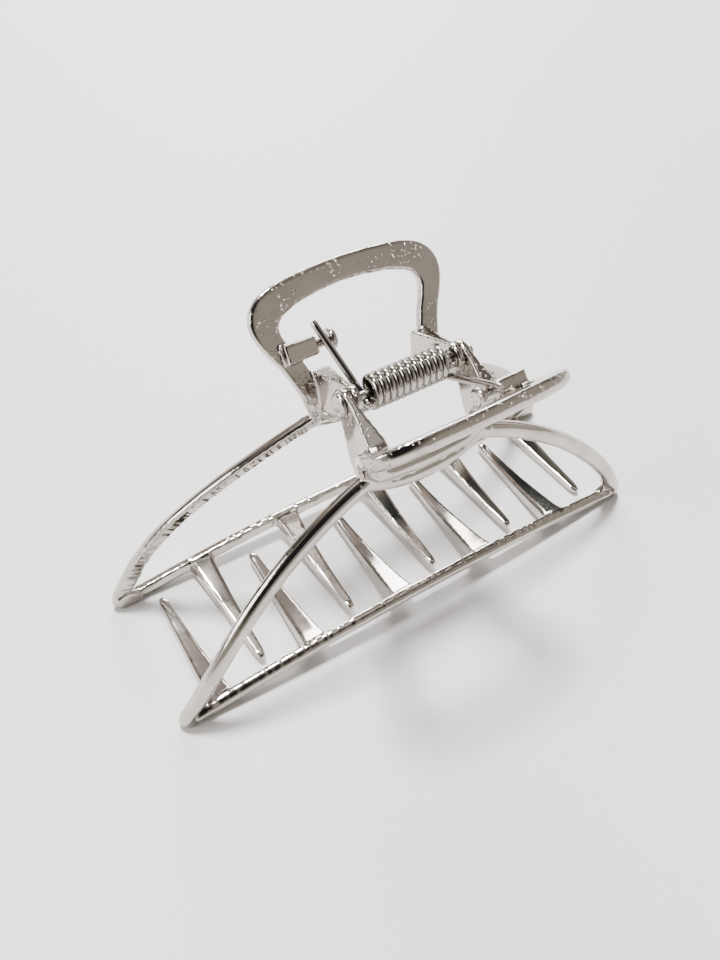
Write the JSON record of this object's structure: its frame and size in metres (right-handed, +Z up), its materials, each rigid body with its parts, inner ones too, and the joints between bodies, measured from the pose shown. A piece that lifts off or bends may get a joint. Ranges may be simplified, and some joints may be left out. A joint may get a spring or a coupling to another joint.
{
  "type": "claw hair clip",
  "caption": "Sprung metal claw clip for hair: two open-frame jaws with long interleaving teeth, finger-loop handles and one hinge pin with a coil spring.",
  "frame": {"origin": "on the surface that the closed clip stands on, under the middle of the clip", "axes": "+X along the hinge pin and the length of the jaws, towards the pin's free end; +Y from the outer jaw to the inner jaw; +Z up, from the teeth to the handles"},
  "size_m": [0.0882, 0.0386, 0.0485],
  "materials": {
    "jaw_plating": "bright nickel plating over a die casting, slightly uneven, with fine specks",
    "pin_steel": "bright plated steel, turned",
    "spring_wire": "bright plated spring wire"
  },
  "bodies": {
    "outer_half": {"outer_jaw": "jaw_plating", "hinge_pin": "pin_steel", "torsion_spring": "spring_wire"},
    "inner_half": {"inner_jaw": "jaw_plating"}
  },
  "joints": [
    {"name": "hinge", "type": "hinge", "parent": "outer_half", "child": "inner_half", "pos_m": [0, 0, 0.0388], "axis": [1, 0, 0], "range_deg": [0, 60], "stiffness_Nm_per_rad": 0.08, "springref_deg": -51.57, "deforming": ["torsion_spring"]}
  ]
}
